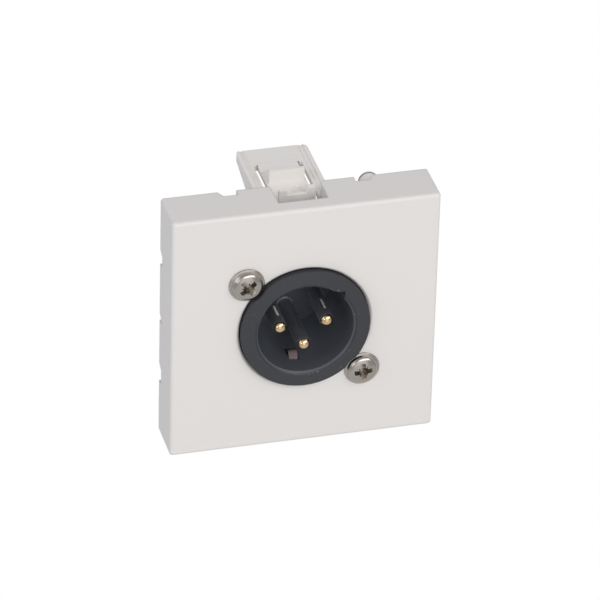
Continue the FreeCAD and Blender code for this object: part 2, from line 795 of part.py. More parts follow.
def make_flange_screw(name, side):
    """Domed pan-head screw from the front, with its head on the plate."""
    body = new_body(name)
    head = s.flange_head_diameter / 2
    turned = new_sketch(body, "turned", "side")
    outline(turned, [
        (-s.flange_head_height, 0.0), (-s.flange_head_height, s.head_crown_diameter / 2),
        (-s.head_shoulder_height, s.head_shoulder_diameter / 2), (-s.flange_head_rim, head),
        (0.0, head), (0.0, s.flange_screw_diameter / 2),
        (s.flange_screw_length, s.flange_screw_diameter / 2), (s.flange_screw_length, 0.0),
    ])
    spin(body, "Revolution", turned)
    put(body, x=screw_x * side, z=screw_z * -side)
    return body


def make_lock_washer(name, side):
    """Split spring washer behind the shell's ear."""
    body = new_body(name)
    ring = new_sketch(body, "ring", "front")
    circle(ring, s.washer_diameter)
    circle(ring, s.flange_screw_diameter + s.screw_clearance * 2)
    pad(body, ring, s.washer_thickness, reverse=True)
    split = new_sketch(body, "split", "front")
    half = s.washer_split / 2
    rectangle(split, -half, 0.0, half, s.washer_diameter)
    pocket(body, split, s.washer_thickness)
    put(body, x=screw_x * side, y=flange_rear, z=screw_z * -side)
    return body


def make_flange_nut(name, side):
    """Hexagon nut behind the washer."""
    body = new_body(name)
    hexagon = new_sketch(body, "hexagon", "front")
    flat = s.nut_across_flats / 2
    outline(hexagon, [
        (flat, nut_corner / 2), (0.0, nut_corner), (-flat, nut_corner / 2),
        (-flat, -nut_corner / 2), (0.0, -nut_corner), (flat, -nut_corner / 2),
    ])
    pad(body, hexagon, s.nut_thickness, reverse=True)
    thread = new_sketch(body, "thread", "front")
    circle(thread, s.flange_screw_diameter + s.thread_gap * 2)
    pocket(body, thread, s.nut_thickness)
    put(body, x=screw_x * side, y=flange_rear + s.washer_thickness, z=screw_z * -side)
    return body


def make_frame_screw(name, side):
    """Small pan-head screw from the back, through the frame's boss into the cover's pillar."""
    body = new_body(name)
    head = s.frame_head_diameter / 2
    seat = frame_rear + s.boss_height
    crown = seat + s.frame_head_height
    turned = new_sketch(body, "turned", "side")
    outline(turned, [
        (seat - s.frame_screw_length, 0.0), (crown, 0.0), (crown, head),
        (seat, head), (seat, s.frame_screw_diameter / 2),
        (seat - s.frame_screw_length, s.frame_screw_diameter / 2),
    ])
    spin(body, "Revolution", turned)
    put(body, x=frame_screw_x * side, z=frame_screw_z * side)
    return body


def runs_along(edge, axis):
    """True for a straight edge that runs along X (0), Y (1) or Z (2)."""
    direction = edge.Vertexes[-1].Point - edge.Vertexes[0].Point
    return abs(direction[axis]) > 0.999 * edge.Length


def is_round(edge, radius):
    """True for a whole circle of the radius."""
    return len(edge.Vertexes) == 1 and abs(edge.Length - 2 * math.pi * radius) < 0.01


def check_features():
    """Stops when a feature failed, or when a pad or a cut changed nothing."""
    faults = []
    for item in doc.Objects:
        if any(state in ("Invalid", "Error") for state in item.State):
            faults.append(f"{item.Name} is {item.State}")
            continue
        base = getattr(item, "BaseFeature", None)
        if base is None or item.isDerivedFrom("PartDesign::Body"):
            continue
        if abs(item.Shape.Volume - base.Shape.Volume) < 1e-6:
            faults.append(f"{item.Name} changes nothing")
    if faults:
        raise RuntimeError("; ".join(faults))


def write_parts(bodies):
    for body in bodies:
        shape = body.Shape
        if shape.isNull() or not shape.isValid():
            raise RuntimeError(f"{body.Label} has no valid shape")
        shape.exportStep(f"parts/{body.Label}.step")
        box = shape.BoundBox
        print(
            f"{body.Label}: {len(shape.Solids)} solid, {shape.Volume:.1f} mm3, "
            f"X {box.XMin:.2f} {box.XMax:.2f}  Y {box.YMin:.2f} {box.YMax:.2f}  "
            f"Z {box.ZMin:.2f} {box.ZMax:.2f}"
        )


bodies = [make_front_cover(), make_carrier_frame()]
bodies.append(make_latch("top_latch"))
bottom_latch = make_latch("bottom_latch")
half_turn_about_y(bottom_latch)
bodies.append(bottom_latch)
bodies += [make_connector_shell(), make_contact_insert(), make_insert_clip()]
for number, place in enumerate(pin_places, start=1):
    bodies.append(make_contact_pin(f"contact_pin_{number}", place))
bodies.append(make_shell_contact())
for height, side in (("upper", -1), ("lower", 1)):
    bodies.append(make_flange_screw(f"{height}_flange_screw", side))
    bodies.append(make_lock_washer(f"{height}_lock_washer", side))
    bodies.append(make_flange_nut(f"{height}_flange_nut", side))
    bodies.append(make_frame_screw(f"{height}_frame_screw", -side))

doc.recompute()
check_features()
write_parts(bodies)
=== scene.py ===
import math

import bmesh
import bpy
from mathutils import Matrix, Vector


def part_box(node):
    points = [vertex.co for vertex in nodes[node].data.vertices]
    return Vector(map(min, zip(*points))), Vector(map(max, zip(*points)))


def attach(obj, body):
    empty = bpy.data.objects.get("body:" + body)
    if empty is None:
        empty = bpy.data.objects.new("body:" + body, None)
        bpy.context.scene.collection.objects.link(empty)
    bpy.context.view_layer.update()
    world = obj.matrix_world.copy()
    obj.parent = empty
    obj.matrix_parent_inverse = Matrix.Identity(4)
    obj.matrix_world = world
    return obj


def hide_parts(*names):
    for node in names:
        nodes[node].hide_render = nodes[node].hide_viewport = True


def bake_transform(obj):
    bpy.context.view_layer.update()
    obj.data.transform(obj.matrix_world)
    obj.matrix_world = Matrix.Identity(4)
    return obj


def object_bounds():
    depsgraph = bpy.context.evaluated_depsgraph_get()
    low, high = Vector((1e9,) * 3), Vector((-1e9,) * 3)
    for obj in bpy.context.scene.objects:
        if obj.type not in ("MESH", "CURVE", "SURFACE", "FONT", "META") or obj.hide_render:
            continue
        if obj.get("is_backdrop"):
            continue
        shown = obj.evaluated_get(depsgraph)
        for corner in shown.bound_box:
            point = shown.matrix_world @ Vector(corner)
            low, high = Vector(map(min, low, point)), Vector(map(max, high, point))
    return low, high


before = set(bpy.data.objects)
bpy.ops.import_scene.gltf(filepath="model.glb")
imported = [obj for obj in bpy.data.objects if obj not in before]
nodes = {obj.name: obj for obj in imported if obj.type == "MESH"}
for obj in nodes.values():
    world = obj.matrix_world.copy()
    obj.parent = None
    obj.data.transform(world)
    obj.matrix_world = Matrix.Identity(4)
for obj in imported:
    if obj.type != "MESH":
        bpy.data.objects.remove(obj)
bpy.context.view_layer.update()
MM = 0.001


# Front cover: the plate with its skirt, ribs and screw pillars, moulded in one piece from a white
# polycarbonate blend. The carrier frame behind it is screwed into its pillars.

COVER_COLOUR = "#E9E5E2"
COVER_GLOSS = 0.42
COVER_EDGE = 0.35


def linear(code):
    """The plain light colour of an sRGB hex code."""
    channels = [int(code[i:i + 2], 16) / 255 for i in (1, 3, 5)]
    return [c / 12.92 if c <= 0.04045 else ((c + 0.055) / 1.055) ** 2.4 for c in channels] + [1.0]


def add(tree, kind, links=(), **values):
    """Adds a node. links are (own input, other node, its output), values set inputs or settings."""
    node = tree.nodes.new(kind)
    for name, value in values.items():
        socket = name.replace("_", " ")
        if socket in node.inputs:
            node.inputs[socket].default_value = value
        else:
            setattr(node, name, value)
    for own, other, output in links:
        tree.links.new(other.outputs[output], node.inputs[own])
    return node


def new_material(name, **surface):
    """A material with a Principled shader, and its tree, shader and object coordinates."""
    material = bpy.data.materials.new(name)
    material.use_nodes = True
    tree = material.node_tree
    shader = tree.nodes["Principled BSDF"]
    for key, value in surface.items():
        shader.inputs[key.replace("_", " ")].default_value = value
    place = add(tree, "ShaderNodeTexCoord")
    return material, tree, shader, place


def relief(tree, shader, place, grain_mm, depth_mm, edge_mm):
    """A fine grain of that size and depth, with edges rounded to a radius."""
    noise = add(tree, "ShaderNodeTexNoise", [("Vector", place, "Object")], Scale=1 / (grain_mm * MM), Detail=3.0)
    edge = add(tree, "ShaderNodeBevel", samples=6, Radius=edge_mm * MM)
    bump = add(
        tree, "ShaderNodeBump", [("Height", noise, "Fac"), ("Normal", edge, "Normal")],
        Distance=depth_mm * MM, Strength=1.0,
    )
    tree.links.new(bump.outputs["Normal"], shader.inputs["Normal"])


def uneven_gloss(tree, shader, place, patch_mm, roughness, spread):
    """A roughness that varies by a spread, in patches of that size."""
    patches = add(tree, "ShaderNodeTexNoise", [("Vector", place, "Object")], Scale=1 / (patch_mm * MM), Detail=2.0)
    gloss = add(
        tree, "ShaderNodeMapRange", [("Value", patches, "Fac")], To_Min=roughness - spread, To_Max=roughness + spread,
    )
    tree.links.new(gloss.outputs["Result"], shader.inputs["Roughness"])


def moulded_white(name, colour, roughness, edge_mm):
    """White plastic from a spark-eroded mould. Its real grain of about 0.03 mm is drawn at 0.12 mm to show."""
    material, tree, shader, place = new_material(name, Base_Color=linear(colour), IOR=1.5)
    shader.inputs["Subsurface Weight"].default_value = 0.05
    shader.inputs["Subsurface Radius"].default_value = (0.001, 0.0009, 0.0008)
    relief(tree, shader, place, 0.12, 0.004, edge_mm)
    uneven_gloss(tree, shader, place, 3.6, roughness, 0.03)
    return material


def paint(material, *names):
    """Gives CAD nodes their finish."""
    for name in names:
        mesh = nodes[name].data
        mesh.materials.clear()
        mesh.materials.append(material)


# Moulded polycarbonate with a satin skin: a warm white with soft, wide highlights and smooth edges.
satin_white = moulded_white("satin_moulded_polycarbonate", COVER_COLOUR, COVER_GLOSS, COVER_EDGE)
paint(satin_white, "front_cover")


# Carrier frame: a moulding of the same polycarbonate in one piece with its screw bosses and clip
# tabs. The lips along each tab run out in a curve at the rear end, whose corners are rounded.

# The frame's white is paler than the cover's: painted light on the frame and latches.
FRAME_PAINTED_LIGHT_COLOUR = "#F3EFEB"
FRAME_GLOSS = 0.5
FRAME_EDGE = 0.1
TAB_TOP = 19.7
TAB_END = 24.9
TAB_HALF_WIDTH = 6.1
TAB_CORNER_RADIUS = 1.8
LIP_HEIGHT = 0.4
LIP_FOOT = 0.02
LIP_RUN_OUT = 1.3
PAST_TAB = 0.5


def shaded(mesh, angle=35.0):
    """Smooth shading that breaks at edges sharper than the angle, in place of any stored normals."""
    stored = mesh.attributes.get("custom_normal")
    if stored:
        mesh.attributes.remove(stored)
    for polygon in mesh.polygons:
        polygon.use_smooth = True
    mesh.set_sharp_from_angle(angle=math.radians(angle))
    return mesh


def new_piece(name, mesh, material):
    """Shows a mesh as a piece of the object with its finish. It still has to ride on something."""
    mesh.name = name
    mesh.materials.clear()
    mesh.materials.append(material)
    piece = bpy.data.objects.new(name, mesh)
    bpy.context.scene.collection.objects.link(piece)
    return piece


def prism(name, outline, near, far, near_scale=1.0, far_scale=1.0):
    """A solid from an (x, z) outline in mm between two levels of Y, scaled at each level."""
    mesh = bpy.data.meshes.new(name)
    shape = bmesh.new()
    front = [shape.verts.new(Vector((x * near_scale, near, z * near_scale)) * MM) for x, z in outline]
    rear = [shape.verts.new(Vector((x * far_scale, far, z * far_scale)) * MM) for x, z in outline]
    count = len(outline)
    for index in range(count):
        following = (index + 1) % count
        shape.faces.new((front[index], front[following], rear[following], rear[index]))
    shape.faces.new(front[::-1])
    shape.faces.new(rear)
    bmesh.ops.recalc_face_normals(shape, faces=shape.faces)
    shape.to_mesh(mesh)
    shape.free()
    return mesh


def welded(mesh):
    """A copy of a CAD node's mesh, whose loose triangles are joined along their edges."""
    shape = bmesh.new()
    shape.from_mesh(mesh)
    bmesh.ops.remove_doubles(shape, verts=shape.verts, dist=0.0005 * MM)
    joined = bpy.data.meshes.new("welded")
    shape.to_mesh(joined)
    shape.free()
    return joined


def carved(mesh, cutter, operation="DIFFERENCE"):
    """The mesh after an exact cut by another mesh."""
    scene = bpy.context.scene
    body = bpy.data.objects.new("carved", mesh)
    tool = bpy.data.objects.new("cutter", cutter)
    for item in (body, tool):
        scene.collection.objects.link(item)
    modifier = body.modifiers.new("cut", "BOOLEAN")
    modifier.operation = operation
    modifier.solver = "EXACT"
    modifier.object = tool
    result = bpy.data.meshes.new_from_object(body.evaluated_get(bpy.context.evaluated_depsgraph_get()))
    bpy.data.objects.remove(body)
    bpy.data.objects.remove(tool)
    return result


# The same moulded polycarbonate with a duller skin, so it looks flatter than the cover, and a paler colour
# that is painted light: it stands in for the light that the cover's skirt keeps from the frame and latches.
dull_painted_light_white = moulded_white("dull_polycarbonate_painted_light", FRAME_PAINTED_LIGHT_COLOUR, FRAME_GLOSS, FRAME_EDGE)

frame_mesh = welded(nodes["carrier_frame"].data)
curve = [
    (TAB_END - LIP_RUN_OUT * (1 - math.sin(a)), TAB_TOP + LIP_FOOT + LIP_HEIGHT * math.cos(a))
    for a in (math.pi / 2 * index / 8 for index in range(9))
]
curve += [(TAB_END + PAST_TAB, curve[-1][1]), (TAB_END + PAST_TAB, TAB_TOP + 2), (curve[0][0], TAB_TOP + 2)]
for side in (1, -1):
    run_out = prism("lip_run_out", [(y, z * side) for y, z in curve], -8, 8)
    run_out.transform(Matrix.Rotation(math.pi / 2, 4, "Z"))
    frame_mesh = carved(frame_mesh, run_out)

# The cutter's round starts and ends just outside the tab, so that it crosses its faces cleanly.
corner_x = TAB_HALF_WIDTH - TAB_CORNER_RADIUS
corner_y = TAB_END - TAB_CORNER_RADIUS
outer_x = TAB_HALF_WIDTH + PAST_TAB
outer_y = TAB_END + PAST_TAB
quarter = [
    (math.pi / 2 * index / 10, TAB_CORNER_RADIUS + (0.01 if index in (0, 10) else 0)) for index in range(11)
]
for side in (1, -1):
    round_corner = [
        (side * (corner_x + reach * math.cos(a)), -corner_y - reach * math.sin(a)) for a, reach in quarter
    ]
    round_corner += [(side * corner_x, -outer_y), (side * outer_x, -outer_y), (side * outer_x, -corner_y)]
    outside = prism("outside_corner", round_corner, -25, 25)
    outside.transform(Matrix.Rotation(math.pi / 2, 4, "X"))
    frame_mesh = carved(frame_mesh, outside)
moulding = new_piece("finished_carrier_frame", shaded(frame_mesh), dull_painted_light_white)
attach(moulding, "housing")
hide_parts("carrier_frame")


# Latches: each is a polycarbonate tongue moulded into the carrier frame's tab, with a hook and a
# release tray. The thin web at its root, the plastic that bends when the tongue is pressed, is drawn as a fixed slab.

ROOT_HALF_WIDTH = 3.34
ROOT_FROM_END = 0.5
ROOT_REACH = 0.8
ROOT_SKIN = 0.012
ROOT_STEPS = 12
TONGUE_THICKNESS = 1.0


def slab(name, low, high, steps):
    """A box between two corners in millimetres, divided into steps along Y."""
    mesh = bpy.data.meshes.new(name)
    shape = bmesh.new()
    rings = []
    for index in range(steps + 1):
        y = low[1] + (high[1] - low[1]) * index / steps
        corners = ((low[0], low[2]), (high[0], low[2]), (high[0], high[2]), (low[0], high[2]))
        rings.append([shape.verts.new(Vector((x, y, z)) * MM) for x, z in corners])
    for near, far in zip(rings, rings[1:]):
        for index in range(4):
            following = (index + 1) % 4
            shape.faces.new((near[index], near[following], far[following], far[index]))
    shape.faces.new(rings[0][::-1])
    shape.faces.new(rings[-1])
    bmesh.ops.recalc_face_normals(shape, faces=shape.faces)
    shape.to_mesh(mesh)
    shape.free()
    return mesh


# The latches and their root webs take the frame's paler white, which is painted light.
paint(dull_painted_light_white, "top_latch", "bottom_latch")
for latch, body, sign in (("top_latch", "top_spring_tongue", 1), ("bottom_latch", "bottom_spring_tongue", -1)):
    low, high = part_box(latch)
    root = high[1] / MM - ROOT_FROM_END
    top = TAB_TOP + ROOT_SKIN
    bottom = TAB_TOP - TONGUE_THICKNESS - ROOT_SKIN
    levels = (bottom, top) if sign > 0 else (-top, -bottom)
    mesh = slab(
        f"{latch}_root", (-ROOT_HALF_WIDTH, root - ROOT_REACH, levels[0]),
        (ROOT_HALF_WIDTH, root + ROOT_REACH, levels[1]), ROOT_STEPS,
    )
    web = new_piece(f"{latch}_root", shaded(mesh), dull_painted_light_white)
    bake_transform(web)


# Connector shell: a moulding of black glass-filled polyamide. Its front disc shows through the
# plate's hole, and two flange screws hold it to the plate by its ears.

FACE_COLOUR = "#34353A"
# Painted light: the cavity walls are paler than the face, and paler again towards the bottom.
CAVITY_PAINTED_LIGHT_COLOUR = "#51545B"
DEEP_PAINTED_LIGHT_COLOUR = "#6F747D"
CAVITY_RADIUS = 8.4
CAVITY_DEPTHS = (2.0, 12.0)
DUST_COLOUR = "#9A9CA0"
DUST_SIZE = 0.45
DUST_DEPTHS = (1.0, 1.5)

# Moulded glass-filled polyamide: a dull near-black face. The cavity walls are painted paler than the face,
# and paler still towards the bottom: painted light that lifts the shade inside the cavity. Its grain of
# about 0.03 mm is drawn at 0.08 mm to show, and the few grains of dust on the face at 0.45 mm.
black, tree, shader, place = new_material("moulded_glass_filled_polyamide", IOR=1.5)
relief(tree, shader, place, 0.08, 0.004, 0.08)
uneven_gloss(tree, shader, place, 2.4, 0.42, 0.05)
across = add(tree, "ShaderNodeVectorMath", [(0, place, "Object")], operation="MULTIPLY")
across.inputs[1].default_value = (1, 0, 1)
from_axis = add(tree, "ShaderNodeVectorMath", [(0, across, 0)], operation="LENGTH")
on_face = add(
    tree, "ShaderNodeMapRange", [("Value", from_axis, "Value")],
    From_Min=(CAVITY_RADIUS - 0.1) * MM, From_Max=(CAVITY_RADIUS + 0.1) * MM,
)
depth = add(tree, "ShaderNodeSeparateXYZ", [("Vector", place, "Object")])
# Painted light: the walls grow paler from the mouth to the bottom of the cavity.
deep = add(
    tree, "ShaderNodeMapRange", [("Value", depth, "Y")],
    From_Min=CAVITY_DEPTHS[0] * MM, From_Max=CAVITY_DEPTHS[1] * MM,
)
walls = add(tree, "ShaderNodeMix", [("Factor", deep, "Result")], data_type="RGBA")
walls.inputs["A"].default_value = linear(CAVITY_PAINTED_LIGHT_COLOUR)
walls.inputs["B"].default_value = linear(DEEP_PAINTED_LIGHT_COLOUR)
skin = add(tree, "ShaderNodeMix", [("Factor", on_face, "Result"), ("A", walls, "Result")], data_type="RGBA")
skin.inputs["B"].default_value = linear(FACE_COLOUR)
dust = add(tree, "ShaderNodeTexNoise", [("Vector", place, "Object")], Scale=1 / (DUST_SIZE * MM), Detail=1.0)
speck = add(tree, "ShaderNodeMapRange", [("Value", dust, "Fac")], From_Min=0.74, From_Max=0.79, To_Max=0.8)
front = add(
    tree, "ShaderNodeMapRange", [("Value", depth, "Y")],
    From_Min=DUST_DEPTHS[0] * MM, From_Max=DUST_DEPTHS[1] * MM, To_Min=1.0, To_Max=0.0,
)
settled = add(tree, "ShaderNodeMath", [(0, speck, "Result"), (1, front, "Result")], operation="MULTIPLY")
dusty = add(tree, "ShaderNodeMix", [("Factor", settled, 0), ("A", skin, "Result")], data_type="RGBA")
dusty.inputs["B"].default_value = linear(DUST_COLOUR)
tree.links.new(dusty.outputs["Result"], shader.inputs["Base Color"])
paint(black, "connector_shell")


# Contact insert: the insulator that carries the three pins, moulded from the same polyamide and
# pushed into the shell from behind.

# The insert's colour is far paler than the black face: painted light.
INSERT_PAINTED_LIGHT_COLOUR = "#595D66"

# The same moulded glass-filled polyamide, duller, and painted as pale as the cavity walls: painted light that lifts
# the shade at the bottom of the cavity.
dull_painted_light_black, tree, shader, place = new_material(
    "dull_glass_filled_polyamide_painted_light", Base_Color=linear(INSERT_PAINTED_LIGHT_COLOUR), IOR=1.5,
)
relief(tree, shader, place, 0.08, 0.004, 0.05)
uneven_gloss(tree, shader, place, 2.4, 0.5, 0.05)
paint(dull_painted_light_black, "contact_insert")


# Insert clip: a flat split ring, stamped from nickel-plated spring steel and sprung into the
# shell's groove behind the insert.

NICKEL_COLOUR = "#B4AEA8"
# Painted light: the recess faces are paler than the nickel.
RECESS_PAINTED_LIGHT_COLOUR = "#C8C0B8"

# Steel with a bright nickel plating: a warm grey mirror, slightly broken up, and painted a little paler
# down in the screws' recesses: painted light that lifts the shade there. Its pits of about 0.01 mm are drawn at 0.06
# mm.
nickel, tree, shader, place = new_material("nickel_plated_steel", Metallic=1.0)
relief(tree, shader, place, 0.06, 0.001, 0.05)
uneven_gloss(tree, shader, place, 1.8, 0.24, 0.04)
# The faces marked as recess take the paler colour, which is painted light.
recess = add(tree, "ShaderNodeAttribute", attribute_name="recess")
skin = add(tree, "ShaderNodeMix", [("Factor", recess, "Fac")], data_type="RGBA")
skin.inputs["A"].default_value = linear(NICKEL_COLOUR)
skin.inputs["B"].default_value = linear(RECESS_PAINTED_LIGHT_COLOUR)
tree.links.new(skin.outputs["Result"], shader.inputs["Base Color"])
paint(nickel, "insert_clip")


# Contact pins: turned brass with a gold plating, a round tip and an open solder cup behind. Each is
# pressed into the insert, against a step in its bore.

PIN_STEPS = 64
PIN_FRONT = 0.1
PIN_RADIUS = 1.2
SEAT_START = 13.6
SEAT_RADIUS = 1.4
CUP_START = 18.6
CUP_OUTER_RADIUS = 1.45
CUP_RADIUS = 0.95
CUP_FLOOR = 20.0
CUP_MOUTH = 21.2
PIN_END = 24.6
GOLD_COLOUR = "#E2C49C"
GOLD_TIP = (0.75, 0.95)
GOLD_REAR = (18.2, 18.6)
# The shafts' pale grey is painted light that brightens their reflection of the dark cavity.
SHAFT_PAINTED_LIGHT_COLOUR = "#B9BDC4"
# A painted highlight: a thin pale line along the top of two shafts.
PAINTED_HIGHLIGHT_COLOUR = "#F0EAE0"
PAINTED_HIGHLIGHT_LINE = (2.7, 5.6)
PAINTED_HIGHLIGHT_WIDTH = 0.32


def turned(name, profile, steps):
    """A closed mesh turned round the Y axis. The profile is (y, radius) in mm and starts and ends at 0."""
    mesh = bpy.data.meshes.new(name)
    shape = bmesh.new()
    rings = []
    for y, radius in profile:
        if radius == 0:
            rings.append([shape.verts.new((0, y * MM, 0))])
            continue
        turns = [2 * math.pi * index / steps for index in range(steps)]
        rings.append([
            shape.verts.new(Vector((radius * math.cos(a), y, radius * math.sin(a))) * MM) for a in turns
        ])
    for near, far in zip(rings, rings[1:]):
        for index in range(steps):
            following = (index + 1) % steps
            corners = [near[index % len(near)], near[following % len(near)],
                       far[following % len(far)], far[index % len(far)]]
            shape.faces.new(list(dict.fromkeys(corners)))
    bmesh.ops.recalc_face_normals(shape, faces=shape.faces)
    shape.to_mesh(mesh)
    shape.free()
    return mesh


def middle_of(node):
    """The X and Z of a node's middle."""
    low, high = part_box(node)
    return Vector(((low[0] + high[0]) / 2, 0, (low[2] + high[2]) / 2))


# Brass with a gold plating: a bright pale gold at the tip and behind. The shafts are painted a pale grey,
# painted light that brightens their reflection of the dark cavity, and two of them carry a thin painted
# highlight along the top. The turning marks are finer than 0.01 mm and are drawn as a grain of 0.05 mm.
gold, tree, shader, place = new_material("gold_plated_brass", Metallic=1.0)
relief(tree, shader, place, 0.05, 0.0004, 0.04)
along = add(tree, "ShaderNodeSeparateXYZ", [("Vector", place, "Object")])
tip = add(
    tree, "ShaderNodeMapRange", [("Value", along, "Y")],
    From_Min=GOLD_TIP[0] * MM, From_Max=GOLD_TIP[1] * MM, To_Min=1.0, To_Max=0.0,
)
rear = add(
    tree, "ShaderNodeMapRange", [("Value", along, "Y")], From_Min=GOLD_REAR[0] * MM, From_Max=GOLD_REAR[1] * MM,
)
bright = add(tree, "ShaderNodeMath", [(0, tip, "Result"), (1, rear, "Result")], operation="MAXIMUM")
skin = add(tree, "ShaderNodeMix", [("Factor", bright, 0)], data_type="RGBA")
skin.inputs["A"].default_value = linear(SHAFT_PAINTED_LIGHT_COLOUR)
skin.inputs["B"].default_value = linear(GOLD_COLOUR)
# The painted highlight is a pale, non-metal line.
painted_highlight = add(tree, "ShaderNodeAttribute", attribute_name="painted_highlight")
lined = add(tree, "ShaderNodeMix", [("Factor", painted_highlight, "Fac"), ("A", skin, "Result")], data_type="RGBA")
lined.inputs["B"].default_value = linear(PAINTED_HIGHLIGHT_COLOUR)
tree.links.new(lined.outputs["Result"], shader.inputs["Base Color"])
metal = add(tree, "ShaderNodeMapRange", [("Value", painted_highlight, "Fac")], To_Min=1.0, To_Max=0.0)
tree.links.new(metal.outputs["Result"], shader.inputs["Metallic"])
gloss = add(tree, "ShaderNodeMapRange", [("Value", bright, 0)], To_Min=0.5, To_Max=0.06)
tree.links.new(gloss.outputs["Result"], shader.inputs["Roughness"])

pin_profile = [
    (PIN_FRONT + PIN_RADIUS * (1 - math.cos(a)), PIN_RADIUS * math.sin(a))
    for a in (math.pi / 2 * index / 12 for index in range(13))
]
pin_profile += [
    (PAINTED_HIGHLIGHT_LINE[0], PIN_RADIUS), (PAINTED_HIGHLIGHT_LINE[1], PIN_RADIUS), (SEAT_START, PIN_RADIUS),
    (SEAT_START, SEAT_RADIUS), (CUP_START, SEAT_RADIUS), (CUP_START, CUP_OUTER_RADIUS),
    (PIN_END - 0.1, CUP_OUTER_RADIUS), (PIN_END, CUP_OUTER_RADIUS - 0.1),
    (PIN_END, CUP_RADIUS), (CUP_FLOOR, CUP_RADIUS), (CUP_FLOOR, 0),
]
upper_half = [(-2, 0.03), (2, 0.03), (2, 2), (-2, 2)]
for number in (1, 2, 3):
    node = f"contact_pin_{number}"
    mesh = turned(node, pin_profile, PIN_STEPS)
    mesh = carved(mesh, prism("cup_mouth", upper_half, CUP_MOUTH, PIN_END + 1.4))
    # Faces of the painted highlight along the top of pins 1 and 2.
    marks = mesh.attributes.new("painted_highlight", "FLOAT", "FACE")
    for polygon in mesh.polygons:
        x, y, z = polygon.center / MM
        on_line = PAINTED_HIGHLIGHT_LINE[0] < y < PAINTED_HIGHLIGHT_LINE[1] and 0 < x < PAINTED_HIGHLIGHT_WIDTH and z > 1.0
        marks.data[polygon.index].value = 1.0 if on_line and number < 3 else 0.0
    mesh.transform(Matrix.Translation(middle_of(node)))
    pin = new_piece(f"gold_pin_{number}", shaded(mesh), gold)
    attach(pin, "housing")
    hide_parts(node)


# Shell contact: a strip of bare copper alloy, bent up into a sprung hump and slid into the channel
# under the cavity. Its tail is a solder tag with an eye.

STRIP_COLOUR = "#6C5C5E"
STRIP_HALF_WIDTH = 0.75
STRIP_HALF_THICKNESS = 0.2
EYE_RADIUS = 0.4
EYE_FROM_END = 1.5


def smoothed(points, rounds):
    """The line through the points with its corners cut off, again and again."""
    for _ in range(rounds):
        cut = [points[0]]
        for a, b in zip(points, points[1:]):
            cut += [a.lerp(b, 0.25), a.lerp(b, 0.75)]
        points = cut + [points[-1]]
    return points


# Rolled copper alloy, bare and dulled by the air to a dark pinkish brown. The rolling marks of about
# 0.02 mm are drawn as a grain of 0.1 mm.
copper, tree, shader, place = new_material("rolled_copper_alloy", Base_Color=linear(STRIP_COLOUR), Metallic=0.6)
relief(tree, shader, place, 0.1, 0.001, 0.05)
uneven_gloss(tree, shader, place, 3.0, 0.5, 0.05)

# The strip's middle line in (y, z): up over the hump, then straight back to the rounded end of the tag.
low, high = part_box("shell_contact")
level = low[2] / MM + STRIP_HALF_THICKNESS
crest = high[2] / MM - STRIP_HALF_THICKNESS
tail = high[1] / MM
tag_round = tail - STRIP_HALF_WIDTH
bends = [
    (3.2, level), (4.3, crest - 0.1), (4.6, crest + 0.08), (4.95, crest - 0.1),
    (6.3, level), (7.0, level), (8.0, level),
]
line = smoothed([Vector((y, z)) for y, z in bends], 2)
line += [Vector((y, level)) for y in (12.0, 18.0, 22.0, tag_round)]
line += [Vector((tag_round + 0.74 * math.sin(math.pi / 2 * index / 6), level)) for index in range(1, 7)]
strip = bpy.data.meshes.new("shell_contact")
shape = bmesh.new()
rings = []
for index, point in enumerate(line):
    before = line[max(index - 1, 0)]
    after = line[min(index + 1, len(line) - 1)]
    forward = (after - before).normalized()
    lift = Vector((-forward[1], forward[0])) * STRIP_HALF_THICKNESS
    past = max(point[0] - tag_round, 0)
    half = math.sqrt(max(STRIP_HALF_WIDTH ** 2 - past ** 2, 0.01))
    corners = ((-half, 1), (half, 1), (half, -1), (-half, -1))
    rings.append([
        shape.verts.new(Vector((x, point[0] + lift[0] * up, point[1] + lift[1] * up)) * MM) for x, up in corners
    ])
for near, far in zip(rings, rings[1:]):
    for index in range(4):
        following = (index + 1) % 4
        shape.faces.new((near[index], near[following], far[following], far[index]))
shape.faces.new(rings[0][::-1])
shape.faces.new(rings[-1])
bmesh.ops.recalc_face_normals(shape, faces=shape.faces)
shape.to_mesh(strip)
shape.free()
eye = turned("tag_eye", [(-1, 0), (-1, EYE_RADIUS), (1, EYE_RADIUS), (1, 0)], 32)
eye_place = Vector((0, tail - EYE_FROM_END, level)) * MM
eye.transform(Matrix.Translation(eye_place) @ Matrix.Rotation(math.pi / 2, 4, "X"))
strip = carved(strip, eye)
strip.transform(Matrix.Translation(Vector((middle_of("shell_contact")[0], 0, 0))))
contact = new_piece("bent_contact_strip", shaded(strip), copper)
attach(contact, "housing")
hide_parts("shell_contact")


# Flange screws: nickel-plated steel with a domed pan head, a cross recess and a rolled thread. They
# go through the plate and the shell's ears into the nuts behind.

SCREW_STEPS = 96
HEAD_RADIUS = 3.0
HEAD_HEIGHT = 1.55
SHANK_RADIUS = 1.3
SHANK_END = 9.0
CROSS_REACH = 1.72
CROSS_HALF_WIDTH = 0.46
TICK_REACH = 1.15
TICK_HALF_WIDTH = 0.13
THREAD_PITCH = 0.5
THREAD_RIDGE = 0.18


